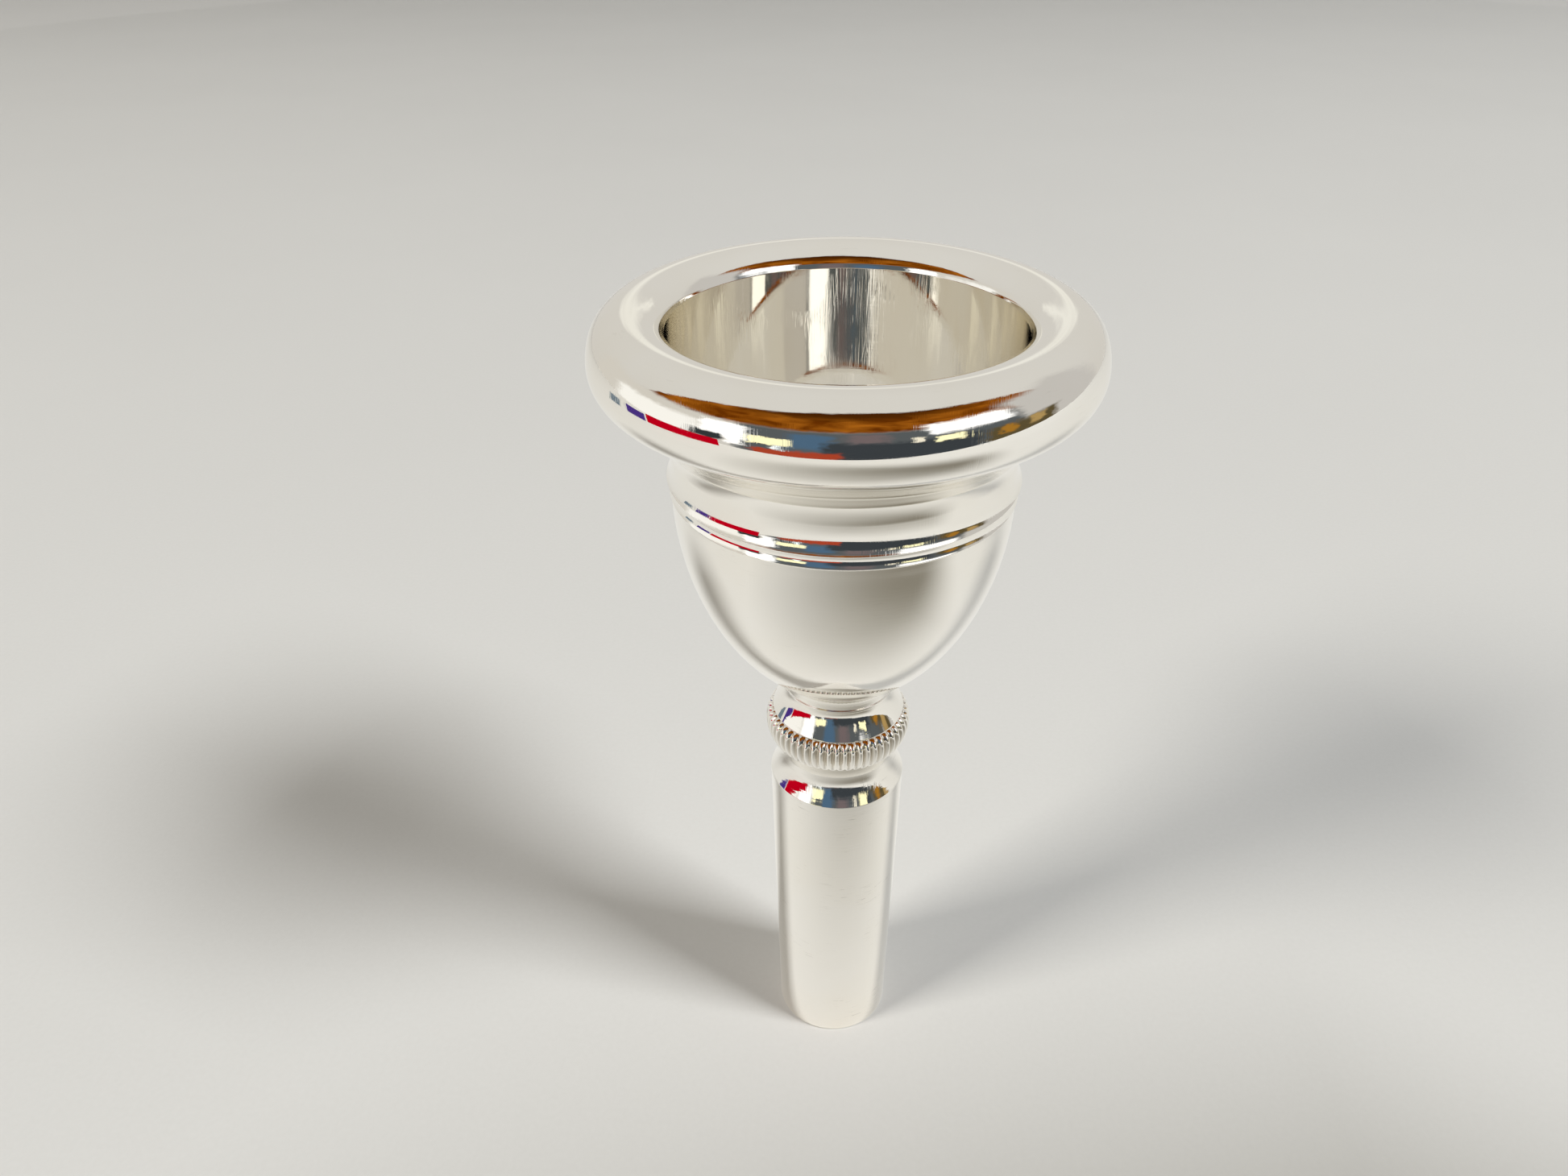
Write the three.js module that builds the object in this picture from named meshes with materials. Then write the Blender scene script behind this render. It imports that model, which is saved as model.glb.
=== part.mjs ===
// A tuba mouthpiece in silver-plated brass, turned in three pieces that screw together: rim, cup and shank.
// Millimetres, +Z up along the axis of the bore, origin at the centre of the shank's end face.
// The two screw threads are plain lands here: a male land stands clear inside a female socket.

import * as THREE from "three";

// Driving dimensions.
const RIM_RADIUS = 23.5; // the widest part
const RIM_CREST_HEIGHT = 92.4; // overall height
const RIM_WIDEST_HEIGHT = 87.95;
const BITE_RADIUS = 16.5; // where the rim turns down into the cup
const THROAT_RADIUS = 4.0; // the narrowest part of the bore
const BACKBORE_EXIT_RADIUS = 5.1;
const SHANK_END_RADIUS = 6.65;
const SHANK_TOP_RADIUS = 7.43; // the tapered shank at its shoulder
const SHANK_TOP_HEIGHT = 38.5;

// Where the pieces part. A shoulder stands one gap off its seat, and a thread one gap off its mate.
const GAP = 0.3;
const RIM_SEAM_HEIGHT = 75.9; // the underside of the rim's lip
const RIM_THREAD_RADIUS = 15.0;
const RIM_THREAD_LENGTH = 5.0;
const CUP_SEAM_HEIGHT = 47.6; // the underside of the cup's flared foot
const CUP_THREAD_RADIUS = 5.2;
const CUP_THREAD_LENGTH = 4.6;
const THREAD_CHAMFER = 0.35; // the lead-in at the end of each male thread

// The collar's flutes.
const FLUTE_COUNT = 56;
const FLUTE_DEPTH = 0.32;

// How finely round stretches are cut into flats.
const ROUND_STEPS = 48;
const CURVE_STEPS = 4;

// The two bowls narrow from their top like a rounded cone: power 1 is a straight cone, and 2 is an ellipse.
const INSIDE = { top: RIM_CREST_HEIGHT - 2.1, radius: BITE_RADIUS - 0.15, depth: 31.7, power: 2.0 };
const OUTSIDE = { top: 74.0, radius: 16.6, depth: 23.7, power: 1.9 };

function bowlRadius(bowl, height) {
  const share = (bowl.top - height) / bowl.depth;
  return bowl.radius * (1 - share ** bowl.power) ** (1 / bowl.power);
}

function bowlHeight(bowl, radius) {
  const share = radius / bowl.radius;
  return bowl.top - bowl.depth * (1 - share ** bowl.power) ** (1 / bowl.power);
}

// Adds a bowl's wall to an outline, between two heights, without its first point.
function addBowl(outline, bowl, from, to, steps) {
  for (let step = 1; step <= steps; step++) {
    const height = from + ((to - from) * step) / steps;
    outline.lineTo(bowlRadius(bowl, height), height);
  }
}

// A male thread's land, upwards from its foot, with a chamfer that leads it into the socket.
function addThreadLand(outline, radius, foot, top) {
  outline.lineTo(radius - THREAD_CHAMFER, foot);
  outline.lineTo(radius, foot + THREAD_CHAMFER);
  outline.lineTo(radius, top);
}

// A closed outline in radius and height, turned round the axis of the bore.
function turned(name, outline, roundSteps, material) {
  outline.closePath();
  const geometry = new THREE.LatheGeometry(outline.getPoints(CURVE_STEPS), roundSteps);
  geometry.rotateX(Math.PI / 2);
  const mesh = new THREE.Mesh(geometry, material);
  mesh.name = name;
  return mesh;
}

// Silver plate over brass, polished to a mirror.
function silverPlate(roughness) {
  return new THREE.MeshStandardMaterial({ color: "#eae7e0", metalness: 1, roughness });
}

// The rim: the rounded ring that carries the lips, the waist under it, a lip at the seam,
// and a skirt with the male thread that screws down into the cup.
function makeRim() {
  // The outer edge is three arcs that run into each other: a shoulder, a flatter flank and the turn under it.
  const flankAngle = THREE.MathUtils.degToRad(20); // above level, where the shoulder becomes the flank
  const flankRound = 6.1;
  const underAngle = THREE.MathUtils.degToRad(50); // below level, where the turn runs into the waist
  const underRound = 3.4;
  const shoulderFoot = RIM_WIDEST_HEIGHT + flankRound * Math.sin(flankAngle);
  const shoulderRound = (RIM_CREST_HEIGHT - shoulderFoot) / (1 - Math.sin(flankAngle));
  const shoulderRadius = RIM_RADIUS - flankRound + (flankRound - shoulderRound) * Math.cos(flankAngle);
  const shoulderHeight = RIM_CREST_HEIGHT - shoulderRound;
  const waistRadius = 16.5;
  const waistHeight = 78.9;
  const lipRadius = 17.0;
  const skirtFoot = RIM_SEAM_HEIGHT - RIM_THREAD_LENGTH;

  const outline = new THREE.Path();
  outline.moveTo(bowlRadius(INSIDE, skirtFoot), skirtFoot);
  addThreadLand(outline, RIM_THREAD_RADIUS, skirtFoot, RIM_SEAM_HEIGHT);
  outline.lineTo(lipRadius - 0.1, RIM_SEAM_HEIGHT);
  outline.lineTo(lipRadius, RIM_SEAM_HEIGHT + 0.2);
  outline.quadraticCurveTo(waistRadius, waistHeight - 1.6, waistRadius, waistHeight);
  const underRadius = RIM_RADIUS - underRound + underRound * Math.cos(underAngle);
  const underHeight = RIM_WIDEST_HEIGHT - underRound * Math.sin(underAngle);
  outline.bezierCurveTo(waistRadius + 0.3, 82.0, 20.6, 83.9, underRadius, underHeight);
  outline.absarc(RIM_RADIUS - underRound, RIM_WIDEST_HEIGHT, underRound, -underAngle, 0, false);
  outline.absarc(RIM_RADIUS - flankRound, RIM_WIDEST_HEIGHT, flankRound, 0, flankAngle, false);
  outline.absarc(shoulderRadius, shoulderHeight, shoulderRound, flankAngle, Math.PI / 2, false);
  const biteHeight = INSIDE.top + 1.2; // the crest's curve pulls towards this height as it turns down
  outline.bezierCurveTo(18.0, RIM_CREST_HEIGHT, BITE_RADIUS + 0.2, biteHeight, INSIDE.radius, INSIDE.top);
  addBowl(outline, INSIDE, INSIDE.top, skirtFoot, 5);
  return turned("rim", outline, ROUND_STEPS, silverPlate(0.08));
}

// The cup: the outer body with a second, finer lip, the socket for the rim's skirt, the bowl that narrows
// to the throat, the neck that flares to a foot on the collar, and the stub that screws into the shank.
function makeCup() {
  const topFace = RIM_SEAM_HEIGHT - GAP;
  const socketRadius = RIM_THREAD_RADIUS + GAP;
  const socketFloor = topFace - RIM_THREAD_LENGTH;
  const lipRadius = 16.8;
  const lipHeight = 74.7;
  const bodyFootRadius = 6.9;
  const bodyFoot = bowlHeight(OUTSIDE, bodyFootRadius);
  const neckRadius = 5.85;
  const neckTop = 51.9;
  const neckFoot = 50.6;
  const footRadius = 7.1;
  const stubFoot = CUP_SEAM_HEIGHT - CUP_THREAD_LENGTH;
  const throatTop = bowlHeight(INSIDE, THROAT_RADIUS);

  const outline = new THREE.Path();
  outline.moveTo(THROAT_RADIUS, stubFoot);
  addThreadLand(outline, CUP_THREAD_RADIUS, stubFoot, CUP_SEAM_HEIGHT);
  outline.lineTo(footRadius, CUP_SEAM_HEIGHT);
  outline.quadraticCurveTo(neckRadius + 0.3, 49.1, neckRadius, neckFoot);
  outline.lineTo(neckRadius, neckTop);
  outline.lineTo(bodyFootRadius, bodyFoot);
  addBowl(outline, OUTSIDE, bodyFoot, OUTSIDE.top, 9);
  outline.lineTo(lipRadius, lipHeight);
  outline.quadraticCurveTo(lipRadius - 0.2, topFace - 0.5, lipRadius - 0.25, topFace);
  outline.lineTo(socketRadius, topFace);
  outline.lineTo(socketRadius, socketFloor);
  outline.lineTo(bowlRadius(INSIDE, socketFloor), socketFloor);
  addBowl(outline, INSIDE, socketFloor, throatTop, 10);
  return turned("cup", outline, ROUND_STEPS, silverPlate(0.1));
}

// Presses the flutes into the collar: every second row of points round it sinks towards the axis,
// most at the middle of the collar's swell and not at all at its two ends.
function flute(geometry, foot, top) {
  const points = geometry.getAttribute("position");
  for (let index = 0; index < points.count; index++) {
    const x = points.getX(index);
    const y = points.getY(index);
    const share = (points.getZ(index) - foot) / (top - foot);
    const radius = Math.hypot(x, y);
    if (radius < SHANK_END_RADIUS || share <= 0 || share >= 1) continue;
    const valley = 0.5 - 0.5 * Math.cos(FLUTE_COUNT * Math.atan2(y, x));
    const shrink = 1 - (FLUTE_DEPTH * Math.sin(Math.PI * share) * valley) / radius;
    points.setX(index, x * shrink);
    points.setY(index, y * shrink);
  }
}

// The shank: the fluted collar that gives the fingers a grip, with the socket for the cup's stub,
// and the tapered tube that goes into the instrument. The backbore widens down to the end face.
function makeShank() {
  const topFace = CUP_SEAM_HEIGHT - GAP;
  const socketRadius = CUP_THREAD_RADIUS + GAP;
  const socketFloor = topFace - CUP_THREAD_LENGTH;
  const collarEdgeRadius = 7.05;
  const collarFootRadius = 7.2;
  const collarFoot = 43.6;
  const collarSwell = 8.1; // the collar's curve pulls towards this radius and stays a little inside it
  const grooveRadius = 6.27;
  const grooveHeight = 41.9;
  const backboreTop = 41.0;
  const endChamfer = 0.35;

  const outline = new THREE.Path();
  outline.moveTo(BACKBORE_EXIT_RADIUS, 0);
  outline.lineTo(SHANK_END_RADIUS - endChamfer, 0);
  outline.lineTo(SHANK_END_RADIUS, endChamfer);
  outline.lineTo(SHANK_TOP_RADIUS, SHANK_TOP_HEIGHT);
  outline.quadraticCurveTo(6.35, 40.3, grooveRadius, grooveHeight);
  outline.lineTo(collarFootRadius, collarFoot);
  outline.bezierCurveTo(collarSwell, 44.9, collarSwell, 46.7, collarEdgeRadius, topFace);
  outline.lineTo(socketRadius, topFace);
  outline.lineTo(socketRadius, socketFloor);
  outline.lineTo(THROAT_RADIUS, socketFloor);
  outline.lineTo(THROAT_RADIUS, backboreTop);
  const shank = turned("shank", outline, FLUTE_COUNT * 2, silverPlate(0.1));
  flute(shank.geometry, collarFoot, topFace);
  return shank;
}

const mouthpiece = new THREE.Group();
mouthpiece.add(makeShank(), makeCup(), makeRim());

export default mouthpiece;
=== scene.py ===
# A silver-plated tuba mouthpiece in three pieces that screw together: shank, cup and rim.
# It stands on the end of its shank on a pale table, in the soft light of a room with windows.

import math

import bmesh
import bpy
import numpy as np
from mathutils import Euler, Matrix, Vector


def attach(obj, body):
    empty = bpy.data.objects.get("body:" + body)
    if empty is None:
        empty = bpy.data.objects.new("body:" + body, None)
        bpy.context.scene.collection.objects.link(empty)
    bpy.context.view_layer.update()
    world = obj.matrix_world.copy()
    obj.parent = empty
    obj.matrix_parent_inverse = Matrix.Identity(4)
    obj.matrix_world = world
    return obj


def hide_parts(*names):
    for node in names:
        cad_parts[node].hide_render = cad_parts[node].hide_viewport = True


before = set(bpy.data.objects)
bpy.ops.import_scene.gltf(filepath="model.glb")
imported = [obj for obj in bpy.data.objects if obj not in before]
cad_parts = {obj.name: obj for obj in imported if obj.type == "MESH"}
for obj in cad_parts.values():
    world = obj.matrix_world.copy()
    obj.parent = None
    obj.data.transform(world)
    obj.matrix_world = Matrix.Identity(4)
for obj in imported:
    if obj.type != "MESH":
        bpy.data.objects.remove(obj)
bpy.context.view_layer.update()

# ---- The shank ----
# The tapered tube that goes into the instrument, with the fluted collar that the fingers turn.
# Turned from brass bar on a lathe, the flutes rolled in with a wheel, then silver-plated and polished.
# The cup's stub screws down into the collar.

MM = 0.001  # outlines are in millimetres, and the scene is in metres


def bend(outline, *pulls, steps=12):
    """Adds a smooth curve to an outline: it ends at the last point and is pulled towards the others."""
    control = [outline[-1], *pulls]
    for step in range(1, steps + 1):
        share = step / steps
        level = control
        while len(level) > 1:
            level = [
                (a[0] + (b[0] - a[0]) * share, a[1] + (b[1] - a[1]) * share)
                for a, b in zip(level, level[1:])
            ]
        outline.append(level[0])


def break_corners(outline, size, sharpest_kept=14):
    """Rounds every corner that turns by more than some degrees, as polishing does, and leaves a short flat
    on each side of it."""
    softened = []
    for index, here in enumerate(outline):
        before = Vector(outline[index - 1])
        here = Vector(here)
        after = Vector(outline[(index + 1) % len(outline)])
        turn_in_degrees = math.degrees((here - before).angle(after - here))
        if turn_in_degrees < sharpest_kept:
            softened.append(tuple(here))
            continue
        cut_before = min(size, 0.4 * (here - before).length)
        cut_after = min(size, 0.4 * (after - here).length)
        start = here + (before - here).normalized() * cut_before
        end = here + (after - here).normalized() * cut_after
        softened.append(tuple(start + (before - here).normalized() * 0.3 * cut_before))
        for step in range(7):
            share = step / 6
            softened.append(tuple(start.lerp(here, share).lerp(here.lerp(end, share), share)))
        softened.append(tuple(end + (after - here).normalized() * 0.3 * cut_after))
    return softened


def split_long_flats(outline, longest):
    """Adds points so that no straight stretch of an outline is longer than the given length."""
    points = []
    for index, here in enumerate(outline):
        after = outline[(index + 1) % len(outline)]
        parts = max(1, math.ceil(math.dist(here, after) / longest))
        for part in range(parts):
            share = part / parts
            points.append((here[0] + (after[0] - here[0]) * share, here[1] + (after[1] - here[1]) * share))
    return points


def turn_on_lathe(name, outline, sides, corner=0.06, longest=0.3, press=None):
    """Turns a closed outline of radius and height, in millimetres, into a smooth solid round the bore."""
    outline = split_long_flats(break_corners(outline, corner), longest)
    radius, height = (np.array(column) for column in zip(*outline))
    angle = np.linspace(0, 2 * math.pi, sides, endpoint=False)
    angles, radii = np.meshgrid(angle, radius, indexing="ij")
    heights = np.broadcast_to(height, radii.shape)
    depths = press(angles, radii, heights) if press else np.zeros(radii.shape)
    radii = radii - depths
    points = np.stack([radii * np.cos(angles), radii * np.sin(angles), heights], axis=2).reshape(-1, 3) * MM
    count = len(outline)
    side, row = np.meshgrid(np.arange(sides), np.arange(count), indexing="ij")
    next_side = (side + 1) % sides
    next_row = (row + 1) % count
    faces = np.stack(
        [side * count + row, next_side * count + row, next_side * count + next_row, side * count + next_row],
        axis=2,
    ).reshape(-1, 4)
    mesh = bpy.data.meshes.new(name)
    mesh.from_pydata(points.tolist(), [], faces.tolist())
    mesh.shade_smooth()
    # How deep each point was pressed in, which is where polish can't reach and tarnish stays.
    recess = mesh.attributes.new("recess", "FLOAT", "POINT")
    recess.data.foreach_set("value", depths.reshape(-1).astype(np.float32))
    piece = bpy.data.objects.new(name, mesh)
    bpy.context.scene.collection.objects.link(piece)
    return piece


def thread_depth(angles, heights, low, high, pitch, depth):
    """How deep a right-handed 60 degree thread is cut at each point between two heights."""
    turn = heights / pitch - angles / (2 * math.pi)
    tooth = np.abs(2 * (turn - np.floor(turn)) - 1)
    flattened = np.clip(1.3 * tooth - 0.15, 0, 1)  # the crest and the root are flats
    run_out = np.clip((heights - low) / pitch, 0, 1) * np.clip((high - heights) / pitch, 0, 1)
    return depth * flattened * run_out


cup_thread = dict(low=43.3, high=47.3, pitch=0.75, depth=0.3)
throat_radius = 4.0
collar_socket_radius = 5.5
collar_groove_radius = 6.27
collar_top = 47.3

FLUTE_COUNT = 56
flute_foot = 43.95
flute_top = 48.1  # past the collar's top, so that the flutes are still deep where the cup covers them
flute_depth = 0.36
on_the_wall = 0.02  # a point this near to a thread's radius lies on its wall


def press_shank(angles, radii, heights):
    """The flutes in the collar, still over half as deep at its top, and the female thread in its socket."""
    share = np.clip((heights - flute_foot) / (flute_top - flute_foot), 0, 1)
    swell = np.sin(math.pi * share ** 0.8) ** 0.7
    valley = (0.5 - 0.5 * np.cos(FLUTE_COUNT * angles)) ** 1.5
    flutes = np.where(radii > collar_groove_radius + 0.33, flute_depth * swell * valley, 0)
    socket = np.abs(radii - collar_socket_radius) < on_the_wall
    threads = np.where(socket, -thread_depth(angles, heights, **cup_thread), 0)
    return flutes + threads


shank_outline = [(5.1, 0.0), (6.45, 0.0), (6.65, 0.2), (7.43, 38.5)]
bend(shank_outline, (6.72, 39.9), (6.3, 40.9), (collar_groove_radius, 41.9), steps=24)
bend(shank_outline, (6.62, 42.5), (6.95, 43.1), (7.2, 43.6), steps=10)
bend(shank_outline, (8.1, 44.9), (8.1, 46.7), (7.05, collar_top), steps=40)
shank_outline.append((collar_socket_radius, collar_top))
socket_wall = [(collar_socket_radius, height) for height in (45.8, 44.2, 42.7)]
bend(shank_outline, *socket_wall, steps=32)
shank_outline += [(throat_radius, 42.7), (throat_radius, 41.0)]

shank = turn_on_lathe(
    "shank_silver", shank_outline, sides=FLUTE_COUNT * 8, press=press_shank, longest=4.0
)


def linear(hex_colour):
    """An sRGB hex colour as the linear RGBA that a node takes."""
    channels = [int(hex_colour[start:start + 2], 16) / 255 for start in (1, 3, 5)]
    return [c / 12.92 if c <= 0.04045 else ((c + 0.055) / 1.055) ** 2.4 for c in channels] + [1]


def add_node(tree, kind, settings=None, **links):
    """Adds a node. A setting is a property or, under an input's name or number, that input's value.
    A link's name is an input's name with underscores, or in_ and its number."""
    node = tree.nodes.new(kind)
    for key, value in (settings or {}).items():
        if isinstance(key, int) or key in node.inputs:
            node.inputs[key].default_value = value
        else:
            setattr(node, key, value)
    for key, output in links.items():
        socket = int(key[3:]) if key.startswith("in_") else key.replace("_", " ")
        tree.links.new(output, node.inputs[socket])
    return node


def silver_plate(name, smear, scratches, rings, scuffs):
    """Silver plate on polished brass: a near-perfect mirror, a little warm.
    smear is how much handling has dulled it, scratches how hard its hairlines catch the light,
    rings how far the lathe's turning marks still show through the plate, and scuffs how dark
    the rubbed marks are."""
    material = bpy.data.materials.new(name)
    material.use_nodes = True
    tree = material.node_tree
    shader = tree.nodes["Principled BSDF"]
    shader.inputs["Metallic"].default_value = 1.0
    place = add_node(tree, "ShaderNodeTexCoord").outputs["Object"]

    # Tarnish: a faint warm cast in patches of 10 to 20 mm, and a brown one down in the flutes and threads.
    patches = add_node(tree, "ShaderNodeTexNoise", {"Scale": 70.0, "Detail": 3.0}, Vector=place)
    patch_share = add_node(
        tree, "ShaderNodeMapRange", {1: 0.4, 2: 0.75, 3: 0.0, 4: 0.35}, in_0=patches.outputs[0]
    )
    plate = add_node(
        tree,
        "ShaderNodeMix",
        {"data_type": "RGBA", 6: linear("#f6f4ef"), 7: linear("#efe9da")},
        in_0=patch_share.outputs[0],
    )
    recess = add_node(tree, "ShaderNodeAttribute", {"attribute_name": "recess"})
    recess_share = add_node(
        tree, "ShaderNodeMapRange", {1: 0.05, 2: 0.32, 3: 0.0, 4: 0.55}, in_0=recess.outputs["Fac"]
    )
    colour = add_node(
        tree,
        "ShaderNodeMix",
        {"data_type": "RGBA", 7: linear("#a99878")},
        in_0=recess_share.outputs[0],
        in_6=plate.outputs[2],
    )

    # Rubbed marks: short grey streaks about 2 mm long and 0.2 mm high that run round the axis, in patches.
    stretched = add_node(tree, "ShaderNodeMapping", {"Scale": (450.0, 450.0, 5000.0)}, Vector=place)
    streaks = add_node(
        tree,
        "ShaderNodeTexNoise",
        {"Scale": 1.0, "Detail": 4.0, "Roughness": 0.7},
        Vector=stretched.outputs[0],
    )
    streak_share = add_node(
        tree, "ShaderNodeMapRange", {1: 0.6, 2: 0.72, 3: 0.0, 4: scuffs}, in_0=streaks.outputs[0]
    )
    rubbed_patches = add_node(tree, "ShaderNodeTexNoise", {"Scale": 140.0, "Detail": 2.0}, Vector=place)
    rubbed_share = add_node(tree, "ShaderNodeMapRange", {1: 0.5, 2: 0.62}, in_0=rubbed_patches.outputs[0])
    rubbed = add_node(
        tree,
        "ShaderNodeMath",
        {"operation": "MULTIPLY"},
        in_0=streak_share.outputs[0],
        in_1=rubbed_share.outputs[0],
    )
    marked = add_node(
        tree,
        "ShaderNodeMix",
        {"data_type": "RGBA", 7: linear("#8f887c")},
        in_0=rubbed.outputs[0],
        in_6=colour.outputs[2],
    )
    tree.links.new(marked.outputs[2], shader.inputs["Base Color"])

    # Fingers leave soft dull smears some 6 mm across.
    smears = add_node(
        tree, "ShaderNodeTexNoise", {"Scale": 160.0, "Detail": 5.0, "Roughness": 0.6}, Vector=place
    )
    roughness = add_node(
        tree, "ShaderNodeMapRange", {1: 0.45, 2: 0.75, 3: 0.02, 4: 0.02 + smear}, in_0=smears.outputs[0]
    )
    tree.links.new(roughness.outputs[0], shader.inputs["Roughness"])

    # Turning marks: rings 0.3 mm apart and finer, the same all the way round.
    parts = add_node(tree, "ShaderNodeSeparateXYZ", Vector=place)
    flat = add_node(tree, "ShaderNodeCombineXYZ", in_0=parts.outputs[0], in_1=parts.outputs[1])
    radius = add_node(tree, "ShaderNodeVectorMath", {"operation": "LENGTH"}, Vector=flat.outputs[0])
    profile = add_node(tree, "ShaderNodeCombineXYZ", in_0=radius.outputs["Value"], in_2=parts.outputs[2])
    ring_marks = add_node(
        tree, "ShaderNodeTexNoise", {"Scale": 3500.0, "Detail": 2.0}, Vector=profile.outputs[0]
    )
    micron = 1e-6
    surface = add_node(
        tree, "ShaderNodeBump", {"Strength": 1.0, "Distance": rings * micron}, Height=ring_marks.outputs[0]
    )

    # Hairlines: the edges of long thin cells 0.4 mm wide and 12 mm long, in three directions, broken up.
    for tilt, turned in ((0.5, 0.2), (1.4, 1.1), (2.5, 2.2)):
        stretched = add_node(
            tree,
            "ShaderNodeMapping",
            {"Rotation": (tilt, 0.3, turned), "Scale": (2400.0, 80.0, 80.0)},
            Vector=place,
        )
        cells = add_node(
            tree,
            "ShaderNodeTexVoronoi",
            {"feature": "DISTANCE_TO_EDGE", "Scale": 1.0},
            Vector=stretched.outputs[0],
        )
        line = add_node(tree, "ShaderNodeMapRange", {1: 0.0, 2: 0.035, 3: 1.0, 4: 0.0}, in_0=cells.outputs[0])
        breaks = add_node(tree, "ShaderNodeTexNoise", {"Scale": 220.0, "Detail": 2.0}, Vector=place)
        kept = add_node(tree, "ShaderNodeMapRange", {1: 0.48, 2: 0.7}, in_0=breaks.outputs[0])
        groove = add_node(
            tree, "ShaderNodeMath", {"operation": "MULTIPLY"}, in_0=line.outputs[0], in_1=kept.outputs[0]
        )
        surface = add_node(
            tree,
            "ShaderNodeBump",
            {"Strength": 1.0, "Distance": scratches * micron, "invert": True},
            Height=groove.outputs[0],
            Normal=surface.outputs[0],
        )
    tree.links.new(surface.outputs[0], shader.inputs["Normal"])
    return material


# The shank is pushed into a receiver and pulled out again, so it is the most scuffed of the three.
scuffed_plate = silver_plate("silver_plate_scuffed", smear=0.10, scratches=3.0, rings=4.0, scuffs=0.6)
shank.data.materials.append(scuffed_plate)
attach(shank, "shank")
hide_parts("shank")


# ---- The cup ----
# The bell-shaped body: a half-round bowl inside, a rounded outside, a neck that flares to a foot.
# Turned in one piece from brass and plated. The rim screws down into its top, and it screws into the collar.


def bowl_radius(height, top, radius, depth, power):
    """The radius of a bowl's wall at a height: a rounded cone that closes at its depth."""
    share = (top - height) / depth
    return radius * (1 - share ** power) ** (1 / power)


def follow_bowl(outline, bowl, start, end, steps):
    """Adds a bowl's wall to an outline between two heights."""
    for step in range(steps + 1):
        height = start + (end - start) * step / steps
        outline.append((bowl_radius(height, **bowl), height))


inside = dict(top=90.3, radius=16.35, depth=31.7, power=2.0)
outside = dict(top=74.0, radius=16.6, depth=23.7, power=1.9)
rim_thread = dict(low=71.3, high=75.7, pitch=0.8, depth=0.35)
stub_radius = 5.2
rim_socket_radius = 15.3
rim_socket_floor = 70.6
cup_top = 75.84


def press_cup(angles, radii, heights):
    """The male thread on the stub and the female thread in the socket for the rim."""
    stub = np.abs(radii - stub_radius) < on_the_wall
    male = np.where(stub, thread_depth(angles, heights, **cup_thread), 0)
    socket = np.abs(radii - rim_socket_radius) < on_the_wall
    female = np.where(socket, -thread_depth(angles, heights, **rim_thread), 0)
    return male + female


cup_outline = [(throat_radius, 43.0), (stub_radius - 0.35, 43.0), (stub_radius, 43.35), (stub_radius, 47.36)]
cup_outline += [(7.1, 47.36), (7.1, 47.46)]
bend(cup_outline, (6.46, 48.7), (6.02, 49.6), (5.95, 50.35), steps=24)
cup_outline += [(6.03, 50.42), (6.0, 50.7), (5.9, 50.76), (5.9, 51.25), (6.0, 51.31)]
bend(cup_outline, (6.02, 52.0), (6.3, 52.5), (7.2, 52.99), steps=14)
follow_bowl(cup_outline, outside, 53.12, 73.95, steps=90)
cup_outline += [(16.62, 74.5), (16.8, 74.66)]
bend(cup_outline, (16.5, 75.2), (16.55, cup_top), steps=14)
cup_outline += [(rim_socket_radius, cup_top), (rim_socket_radius, rim_socket_floor)]
follow_bowl(cup_outline, inside, rim_socket_floor, 60.0, steps=70)
bend(cup_outline, (4.1, 59.3), (throat_radius, 58.8), (throat_radius, 58.0), steps=8)

cup = turn_on_lathe("cup_silver", cup_outline, sides=192, press=press_cup)
burnished_plate = silver_plate("silver_plate_burnished", smear=0.05, scratches=1.2, rings=2.5, scuffs=0.15)
cup.data.materials.append(burnished_plate)
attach(cup, "cup")
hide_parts("cup")


# ---- The rim ----
# The ring that carries the lips: a broad rounded top that turns down sharply at the bite, a waist under it
# and a crisp lip at the seam. Turned from brass and plated, and polished the most.
# Its skirt screws into the cup.


def sweep(outline, centre, radius, start, end, steps):
    """Adds an arc to an outline, between two angles in degrees above level."""
    for step in range(1, steps + 1):
        angle = math.radians(start + (end - start) * step / steps)
        outline.append((centre[0] + radius * math.cos(angle), centre[1] + radius * math.sin(angle)))


skirt_radius = 15.0
skirt_foot = 70.9
rim_seam = 75.9


def press_rim(angles, radii, heights):
    """The male thread on the skirt."""
    skirt = np.abs(radii - skirt_radius) < on_the_wall
    return np.where(skirt, thread_depth(angles, heights, **rim_thread), 0)


rim_crest_height = 92.4
rim_radius = 23.5
rim_widest_height = 87.95
flank_angle = 20  # degrees above level, where the shoulder becomes the flatter flank
flank_round = 6.1
under_angle = 50  # degrees below level, where the turn under the flank runs into the waist
under_round = 3.4
flank_sine = math.sin(math.radians(flank_angle))
flank_cosine = math.cos(math.radians(flank_angle))
shoulder_foot = rim_widest_height + flank_round * flank_sine
shoulder_round = (rim_crest_height - shoulder_foot) / (1 - flank_sine)
shoulder_radius = rim_radius - flank_round + (flank_round - shoulder_round) * flank_cosine
under_centre = (rim_radius - under_round, rim_widest_height)

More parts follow.
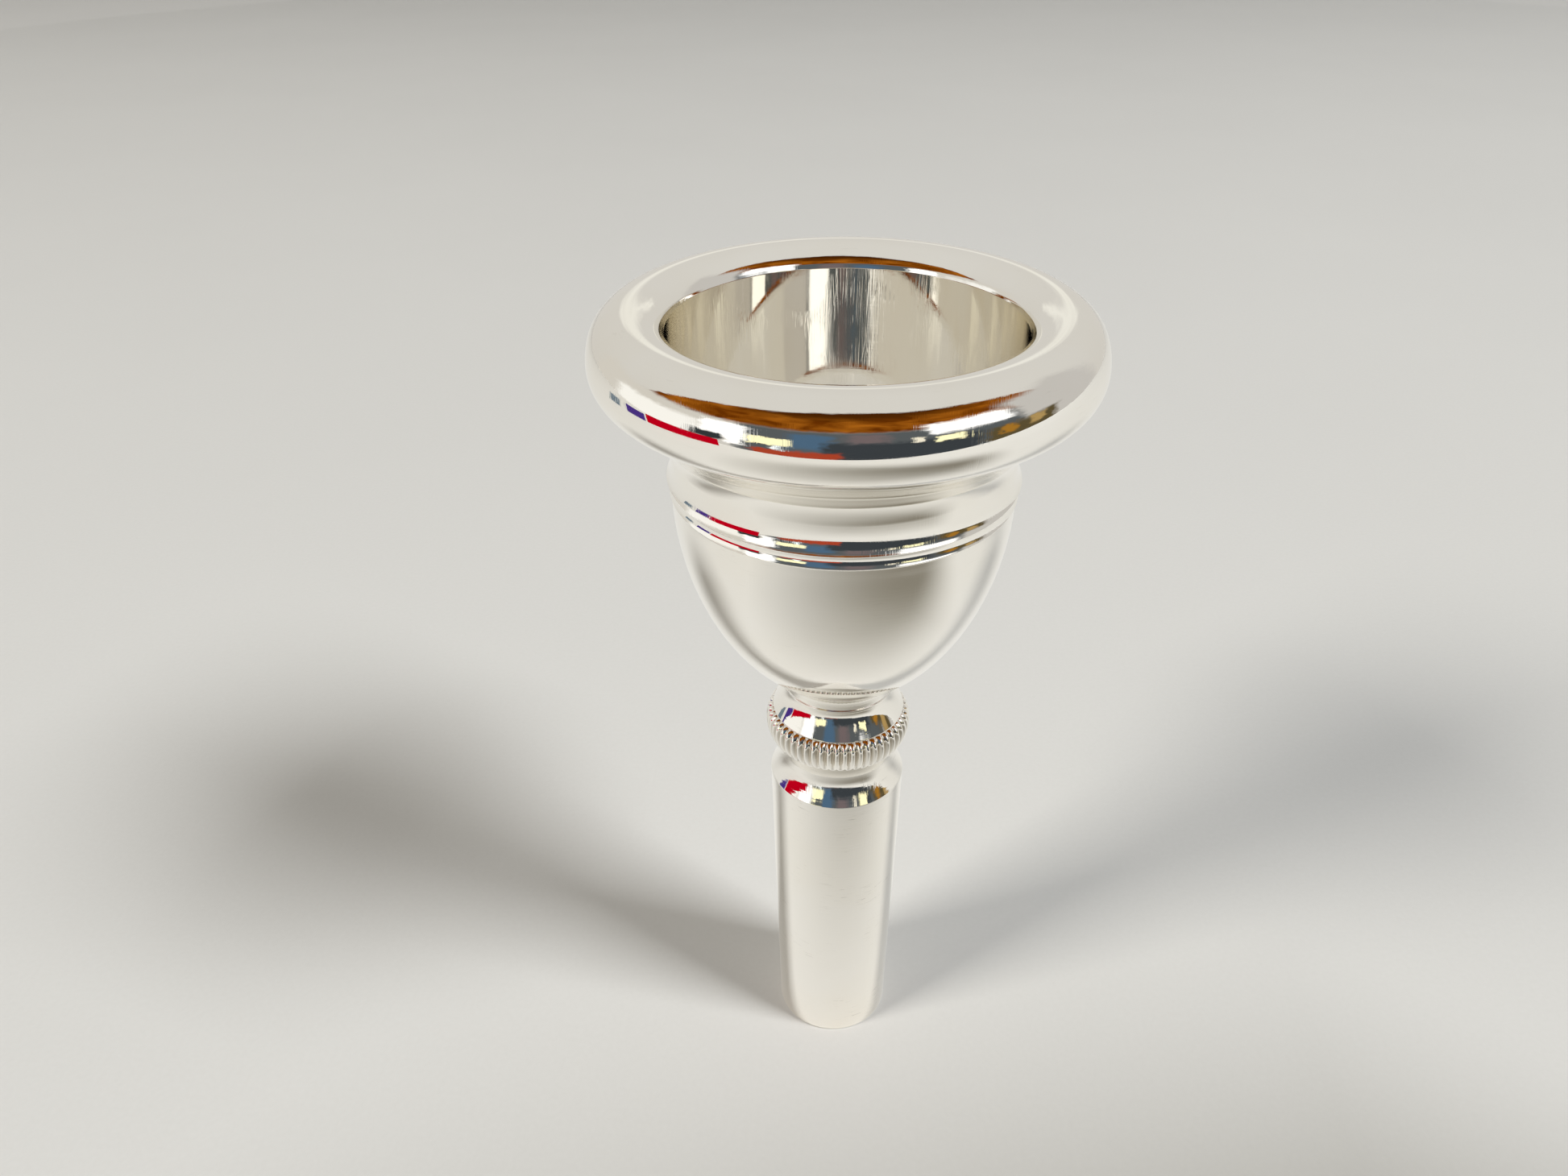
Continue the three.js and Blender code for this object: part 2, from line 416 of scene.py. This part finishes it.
rim_outline = [(bowl_radius(skirt_foot, **inside), skirt_foot), (skirt_radius - 0.35, skirt_foot)]
rim_outline += [(skirt_radius, skirt_foot + 0.35), (skirt_radius, rim_seam)]
rim_outline += [(16.93, rim_seam), (17.0, rim_seam + 0.15)]
bend(rim_outline, (16.72, 76.5), (16.5, 77.1), (16.5, 78.9), steps=28)
under_start = (
    under_centre[0] + under_round * math.cos(math.radians(under_angle)),
    under_centre[1] - under_round * math.sin(math.radians(under_angle)),
)
bend(rim_outline, (16.8, 82.0), (20.6, 83.9), under_start, steps=40)
sweep(rim_outline, under_centre, under_round, -under_angle, 0, steps=26)
sweep(rim_outline, (rim_radius - flank_round, rim_widest_height), flank_round, 0, flank_angle, steps=14)
sweep(
    rim_outline,
    (shoulder_radius, rim_crest_height - shoulder_round),
    shoulder_round,
    flank_angle,
    90,
    steps=36,
)
bend(rim_outline, (18.0, rim_crest_height), (16.78, 91.5), (16.47, 90.7), steps=36)
follow_bowl(rim_outline, inside, inside["top"], skirt_foot + 0.3, steps=70)

rim = turn_on_lathe("rim_silver", rim_outline, sides=288, press=press_rim, corner=0.05)
polished_plate = silver_plate("silver_plate_polished", smear=0.04, scratches=1.5, rings=1.0, scuffs=0.08)
rim.data.materials.append(polished_plate)
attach(rim, "rim")
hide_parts("rim")


# ---- The table ----
# A pale warm-grey laminate top with a faint grain. The broad soft shadow in front and to the right
# is part of the laminate's colour: nothing in the scene casts it.


def laminate(name, pale, paler):
    """A satin laminate whose tone drifts between two pale colours, with the soft shadow on it."""
    material = bpy.data.materials.new(name)
    material.use_nodes = True
    tree = material.node_tree
    shader = tree.nodes["Principled BSDF"]
    shader.inputs["Roughness"].default_value = 0.6
    shader.inputs["Specular IOR Level"].default_value = 0.12
    place = add_node(tree, "ShaderNodeTexCoord").outputs["Object"]
    tone = add_node(tree, "ShaderNodeTexNoise", {"Scale": 9.0, "Detail": 3.0}, Vector=place)
    grain = add_node(tree, "ShaderNodeTexNoise", {"Scale": 1500.0, "Detail": 3.0}, Vector=place)
    broad = add_node(
        tree,
        "ShaderNodeMix",
        {"data_type": "RGBA", 6: linear(pale), 7: linear(paler)},
        in_0=tone.outputs[0],
    )
    fine = add_node(
        tree,
        "ShaderNodeMix",
        {"data_type": "RGBA", "blend_type": "SOFT_LIGHT", 0: 0.10},
        in_6=broad.outputs[2],
        in_7=grain.outputs[0],
    )

    # The shadow: it begins beside the mouthpiece and is full 60 mm in front of it. It slants away
    # on the right, fades to the left, and ends 0.24 m from the mouthpiece.
    parts = add_node(tree, "ShaderNodeSeparateXYZ", Vector=place)
    beyond = add_node(tree, "ShaderNodeMath", {"operation": "SUBTRACT", 1: 0.06}, in_0=parts.outputs[0])
    to_right = add_node(tree, "ShaderNodeMath", {"operation": "MAXIMUM", 1: 0.0}, in_0=beyond.outputs[0])
    slant = add_node(tree, "ShaderNodeMath", {"operation": "MULTIPLY", 1: 0.62}, in_0=to_right.outputs[0])
    ahead = add_node(
        tree, "ShaderNodeMath", {"operation": "ADD"}, in_0=parts.outputs[1], in_1=slant.outputs[0]
    )
    reach = add_node(
        tree,
        "ShaderNodeMapRange",
        {"interpolation_type": "SMOOTHSTEP", 1: 0.018, 2: -0.058},
        in_0=ahead.outputs[0],
    )
    lean = add_node(tree, "ShaderNodeMath", {"operation": "MULTIPLY", 1: -0.9}, in_0=parts.outputs[1])
    across = add_node(
        tree, "ShaderNodeMath", {"operation": "ADD"}, in_0=parts.outputs[0], in_1=lean.outputs[0]
    )
    side = add_node(tree, "ShaderNodeMapRange", {1: -0.05, 2: 0.16}, in_0=across.outputs[0])
    both = add_node(
        tree, "ShaderNodeMath", {"operation": "MULTIPLY"}, in_0=reach.outputs[0], in_1=side.outputs[0]
    )
    distance = add_node(tree, "ShaderNodeVectorMath", {"operation": "LENGTH"}, in_0=place)
    near = add_node(
        tree,
        "ShaderNodeMapRange",
        {"interpolation_type": "SMOOTHSTEP", 1: 0.24, 2: 0.08},
        in_0=distance.outputs["Value"],
    )
    shade = add_node(
        tree, "ShaderNodeMath", {"operation": "MULTIPLY"}, in_0=both.outputs[0], in_1=near.outputs[0]
    )
    shaded = add_node(
        tree,
        "ShaderNodeMix",
        {"data_type": "RGBA", "blend_type": "MULTIPLY", 7: linear("#756f60")},
        in_0=shade.outputs[0],
        in_6=fine.outputs[2],
    )
    tree.links.new(shaded.outputs[2], shader.inputs["Base Color"])
    return material


# The top that is seen runs far away on every side. The silver doesn't mirror it.
half_width = 7
table = bpy.data.objects.new("table", bpy.data.meshes.new("table"))
sheet = bmesh.new()
bmesh.ops.create_grid(sheet, x_segments=2, y_segments=2, size=half_width)
sheet.to_mesh(table.data)
sheet.free()
bpy.context.scene.collection.objects.link(table)
table.data.materials.append(laminate("table_laminate", "#dfdedb", "#e3e2df"))
table.visible_glossy = False

# What the silver mirrors is a round top, 0.3 m from the mouthpiece to its near edge.
top_radius = 0.8
top_centre = Matrix.Translation((0, top_radius - 0.3, 0))
above_the_table = 0.02 * MM
mirrored_table = bpy.data.objects.new("mirrored_table", bpy.data.meshes.new("mirrored_table"))
disc = bmesh.new()
bmesh.ops.create_circle(disc, cap_ends=True, segments=96, radius=top_radius, matrix=top_centre)
disc.to_mesh(mirrored_table.data)
disc.free()
mirrored_table.location = (0, 0, above_the_table)
bpy.context.scene.collection.objects.link(mirrored_table)
# Its laminate is painted paler than the seen table's: painted light, so that the top looks brighter in the
# silver.
mirrored_table.data.materials.append(laminate("mirrored_laminate", "#f0efec", "#f4f3f0"))
mirrored_table.visible_camera = False
mirrored_table.visible_diffuse = False
mirrored_table.visible_shadow = False


# ---- The room ----
# Windows to the left and right, a pale ceiling, and a darker, warmer side towards the camera.
# The room is drawn by direction, and only the silver sees it.

world = bpy.data.worlds.new("room")
bpy.context.scene.world = world
world.use_nodes = True
room = world.node_tree
background = room.nodes["Background"]
direction = add_node(room, "ShaderNodeTexCoord").outputs["Generated"]
axes = add_node(room, "ShaderNodeSeparateXYZ", Vector=direction)
towards_camera = add_node(room, "ShaderNodeMath", {"operation": "MULTIPLY", 1: -1.0}, in_0=axes.outputs[1])
azimuth = add_node(
    room, "ShaderNodeMath", {"operation": "ARCTAN2"}, in_0=axes.outputs[0], in_1=towards_camera.outputs[0]
)
elevation = add_node(room, "ShaderNodeMath", {"operation": "ARCSINE"}, in_0=axes.outputs[2])


def between(value, low, high, soft):
    """1 where a value lies between two limits in degrees, with soft edges."""
    rise = add_node(
        room,
        "ShaderNodeMapRange",
        {"interpolation_type": "SMOOTHSTEP", 1: math.radians(low - soft), 2: math.radians(low + soft)},
        in_0=value,
    )
    fall = add_node(
        room,
        "ShaderNodeMapRange",
        {
            "interpolation_type": "SMOOTHSTEP",
            1: math.radians(high - soft),
            2: math.radians(high + soft),
            3: 1.0,
            4: 0.0,
        },
        in_0=value,
    )
    return add_node(
        room, "ShaderNodeMath", {"operation": "MULTIPLY"}, in_0=rise.outputs[0], in_1=fall.outputs[0]
    ).outputs[0]


def hang(view, hex_colour, brightness, azimuths, elevations, soft):
    """Covers part of the room's view with a colour. Azimuth 0 is towards the camera and 90 to its right."""
    across = between(azimuth.outputs[0], *azimuths, soft)
    upright = between(elevation.outputs[0], *elevations, soft)
    share = add_node(room, "ShaderNodeMath", {"operation": "MULTIPLY"}, in_0=across, in_1=upright)
    shade = [channel * brightness for channel in linear(hex_colour)[:3]] + [1]
    return add_node(
        room,
        "ShaderNodeMix",
        {"data_type": "RGBA", "clamp_result": False, 7: shade},
        in_0=share.outputs[0],
        in_6=view,
    ).outputs[2]


ceiling = add_node(
    room,
    "ShaderNodeMix",
    {"data_type": "RGBA", 6: linear("#d6d3cd"), 7: linear("#dcdad5")},
    in_0=elevation.outputs[0],
).outputs[2]

# Nothing in the room has a sharp or straight outline in the silver: directions wander by a degree or two.
wander = add_node(room, "ShaderNodeTexNoise", {"Scale": 14.0, "Detail": 3.0}, Vector=direction)
wander_parts = add_node(room, "ShaderNodeSeparateColor", in_0=wander.outputs["Color"])


def wandering(angle, channel, degrees):
    """An angle with a little noise of its own added."""
    swing = math.radians(degrees)
    shift = add_node(room, "ShaderNodeMapRange", {1: 0.3, 2: 0.7, 3: -swing, 4: swing}, in_0=channel)
    return add_node(
        room, "ShaderNodeMath", {"operation": "ADD"}, in_0=angle.outputs[0], in_1=shift.outputs[0]
    )


azimuth = wandering(azimuth, wander_parts.outputs[0], 2.0)
elevation = wandering(elevation, wander_parts.outputs[1], 1.5)

# A warm brown panel over the camera side, from near the zenith down to the windows.
panel_grain = add_node(
    room, "ShaderNodeTexNoise", {"Scale": 4.0, "Detail": 5.0, "Distortion": 0.6}, Vector=direction
)
panel_grain_share = add_node(room, "ShaderNodeMapRange", {1: 0.35, 2: 0.7}, in_0=panel_grain.outputs[0])
panel_tone = add_node(
    room,
    "ShaderNodeMix",
    {"data_type": "RGBA", 6: linear("#6a3203"), 7: linear("#b46a1a")},
    in_0=panel_grain_share.outputs[0],
)
panel_dusk = between(elevation.outputs[0], 56, 95, 12)
panel = add_node(
    room,
    "ShaderNodeMix",
    {"data_type": "RGBA", 7: linear("#4a2404")},
    in_0=panel_dusk,
    in_6=panel_tone.outputs[2],
)

# The panel's upper edge: how many degrees up it reaches, going round from behind by the left to the right.
around = add_node(
    room, "ShaderNodeMapRange", {1: math.radians(-180), 2: math.radians(180)}, in_0=azimuth.outputs[0]
)
panel_outline = add_node(room, "ShaderNodeFloatCurve", in_1=around.outputs[0])
outline_curve = panel_outline.mapping.curves[0]
upper_edge = [
    (-180, 0),
    (-112, 5),
    (-96, 24),
    (-80, 48),
    (-55, 62),
    (0, 74),
    (60, 66),
    (85, 58),
    (102, 44),
    (118, 10),
    (180, 0),
]
for index, (across, up) in enumerate(upper_edge):
    point = (across / 360 + 0.5, up / 90)
    if 0 < index < len(upper_edge) - 1:
        outline_curve.points.new(*point)
    else:
        outline_curve.points[0 if index == 0 else -1].location = point
panel_outline.mapping.update()
panel_top = add_node(
    room, "ShaderNodeMath", {"operation": "MULTIPLY", 1: math.radians(90)}, in_0=panel_outline.outputs[0]
)
below_top = add_node(
    room, "ShaderNodeMath", {"operation": "SUBTRACT"}, in_0=panel_top.outputs[0], in_1=elevation.outputs[0]
)
panel_edge = add_node(
    room,
    "ShaderNodeMapRange",
    {"interpolation_type": "SMOOTHSTEP", 1: math.radians(-2.5), 2: math.radians(2.5)},
    in_0=below_top.outputs[0],
)
panel_foot = between(elevation.outputs[0], 24, 95, 4)
panel_share = add_node(
    room, "ShaderNodeMath", {"operation": "MULTIPLY"}, in_0=panel_edge.outputs[0], in_1=panel_foot
)
view = add_node(
    room,
    "ShaderNodeMix",
    {"data_type": "RGBA"},
    in_0=panel_share.outputs[0],
    in_6=ceiling,
    in_7=panel.outputs[2],
).outputs[2]

# Between the panel and the table, each laid over the ones before it: a colour, its brightness, how far
# it reaches across and up in degrees, and how soft its edges are.
furnishings = [
    ("#5a5f62", 1.0, (-45, 80), (-60, 26), 4),  # grey haze towards the camera
    ("#c9c6c2", 1.0, (78, 125), (-60, 40), 5),  # pale wall on the right
    ("#d8d4cc", 1.0, (-128, -60), (-60, 22), 5),  # pale wall on the left
    ("#f7f6f2", 1.1, (-108, -62), (-12, 10), 4),  # brighter low part of the left wall
    ("#4f6b86", 1.0, (-22, -5), (-5, 18), 4),  # blue patch left of the camera
    ("#75686a", 1.0, (2, 18), (6, 22), 4),  # brown-grey patch right of the camera
    ("#3c4146", 1.0, (-8, 56), (-60, 6), 3),  # dark furniture
    ("#ffffff", 1.5, (-60, -40), (-2, 19), 2.5),  # left window
    ("#ffffff", 1.3, (-48, -41), (-10, 1), 1.5),  # its lower part
    ("#ffffff", 1.6, (36, 74), (12, 34), 3.5),  # right window
    ("#33383b", 1.0, (-65, -50), (-9, -1), 1.5),  # dark bar under the left window
    ("#b0452c", 1.0, (-38, -1), (-60, -9), 2),  # red-brown patch, low on the left
    ("#f2fbff", 1.2, (-29, -25), (-9, -3), 1),  # small cool light in it
    ("#5d5136", 1.0, (60, 95), (-60, 3), 3),  # brown patch, low on the right
    ("#a8762a", 1.0, (66, 73), (-7, 3), 1.5),  # orange patch in it
    ("#b3955e", 1.0, (80, 88), (-5, 2), 1.5),  # pale brown patch in it
    ("#fff8c8", 1.25, (-39, -21), (-3, 7), 1),  # warm light on the left
    ("#fff8c8", 1.25, (38, 49), (1, 8), 1),  # warm light on the right
    ("#f3ecd8", 1.1, (28, 32), (4, 11), 0.7),  # narrow warm light beside it
    # A ceiling lamp behind the mouthpiece draws the thin bright line round the rim's crest. Its two halves
    # meet where the azimuth jumps from 180 to -180.
    ("#f6f4ec", 0.97, (166, 200), (16, 21), 3),
    ("#f6f4ec", 0.97, (-200, -166), (16, 21), 3),
]
for furnishing in furnishings:
    view = hang(view, *furnishing)

# Only the silver mirrors the room. Everything else gets an even, faint light from all round,
# and beyond the table there is a plain pale wall.
seen = add_node(room, "ShaderNodeLightPath")
plain = add_node(
    room,
    "ShaderNodeMix",
    {"data_type": "RGBA", 6: (0.025, 0.022, 0.018, 1.0)},
    in_0=seen.outputs["Is Glossy Ray"],
    in_7=view,
)
backdrop = add_node(
    room,
    "ShaderNodeMix",
    {"data_type": "RGBA", 7: linear("#d2d0cb")},
    in_0=seen.outputs["Is Camera Ray"],
    in_6=plain.outputs[2],
)
room.links.new(backdrop.outputs[2], background.inputs["Color"])
background.inputs["Strength"].default_value = 1.0


# The two soft lights stand for the windows. They stand higher than the white patches that the silver
# mirrors, and aren't mirrored themselves.
window_distance = 3.0


def shine(name, azimuth_degrees, elevation_degrees, width, height, watts, colour):
    """A rectangular soft light at the windows' distance that faces the mouthpiece."""
    turn = math.radians(azimuth_degrees)
    rise = math.radians(elevation_degrees)
    target = Vector((0, 0, 0.05))
    offset = Vector((math.sin(turn) * math.cos(rise), -math.cos(turn) * math.cos(rise), math.sin(rise)))
    lamp = bpy.data.lights.new(name, "AREA")
    lamp.shape = "RECTANGLE"
    lamp.size = width
    lamp.size_y = height
    lamp.energy = watts
    lamp.color = colour
    holder = bpy.data.objects.new(name, lamp)
    holder.location = target + offset * window_distance
    holder.rotation_euler = offset.to_track_quat("Z", "Y").to_euler()
    holder.visible_glossy = False
    bpy.context.scene.collection.objects.link(holder)


shine("window_right", 68, 45, 0.9, 0.9, 71, (0.98, 0.995, 1.0))
shine("window_left", -61, 38, 0.85, 0.85, 55, (1.0, 0.97, 0.91))


def stand(name, hex_colour, azimuths, height, distance):
    """A low thing standing on the table near its edge, drawn as a glowing card that only the silver sees: a
    painted reflection.
    """
    mesh = bpy.data.meshes.new(name)
    shape = bmesh.new()
    steps = 12
    rows = []
    for step in range(steps + 1):
        turn = math.radians(azimuths[0] + (azimuths[1] - azimuths[0]) * step / steps)
        foot = Vector((math.sin(turn) * distance, -math.cos(turn) * distance, 0.0))
        rows.append((shape.verts.new(foot), shape.verts.new(foot + Vector((0, 0, height)))))
    for one, other in zip(rows, rows[1:]):
        shape.faces.new((one[0], other[0], other[1], one[1]))
    shape.to_mesh(mesh)
    shape.free()
    piece = bpy.data.objects.new(name, mesh)
    bpy.context.scene.collection.objects.link(piece)
    material = bpy.data.materials.new(name)
    material.use_nodes = True
    tree = material.node_tree
    tree.nodes.remove(tree.nodes["Principled BSDF"])
    glow = add_node(tree, "ShaderNodeEmission", {"Color": linear(hex_colour), "Strength": 1.0})
    tree.links.new(glow.outputs[0], tree.nodes["Material Output"].inputs["Surface"])
    mesh.materials.append(material)
    piece.visible_camera = False
    piece.visible_diffuse = False
    piece.visible_shadow = False


# Three glowing cards on the left: painted reflections of coloured boxes, seen only in the silver.
stand("red_glowing_card", "#c0001c", (-86, -50), 0.044, 0.31)
stand("purple_glowing_card", "#4a3286", (-99, -87), 0.036, 0.31)
stand("slate_glowing_card", "#6f7f8c", (-112, -104), 0.03, 0.31)


# ---- The camera ----
# A wide lens 0.1 m in front of the mouthpiece and 35 mm above its rim, looking down at it.

view_right = math.radians(3.27)
view_down = math.radians(32.63)
view_roll = math.radians(-0.525)
lens = bpy.data.cameras.new("camera")
lens.sensor_width = 36
lens.lens = 27
lens.clip_start = 0.005
camera = bpy.data.objects.new("camera", lens)
aim = Euler((math.pi / 2 - view_down, 0, view_right)).to_matrix() @ Matrix.Rotation(view_roll, 3, "Z")
camera.matrix_world = Matrix.Translation((0, -0.101995, 0.127402)) @ aim.to_4x4()
bpy.context.scene.collection.objects.link(camera)
bpy.context.scene.camera = camera
bpy.context.scene.view_settings.view_transform = "Standard"
bpy.context.scene.view_settings.look = "None"

# Light bounces many times round the inside of the bowl before it leaves.
bpy.context.scene.cycles.glossy_bounces = 12
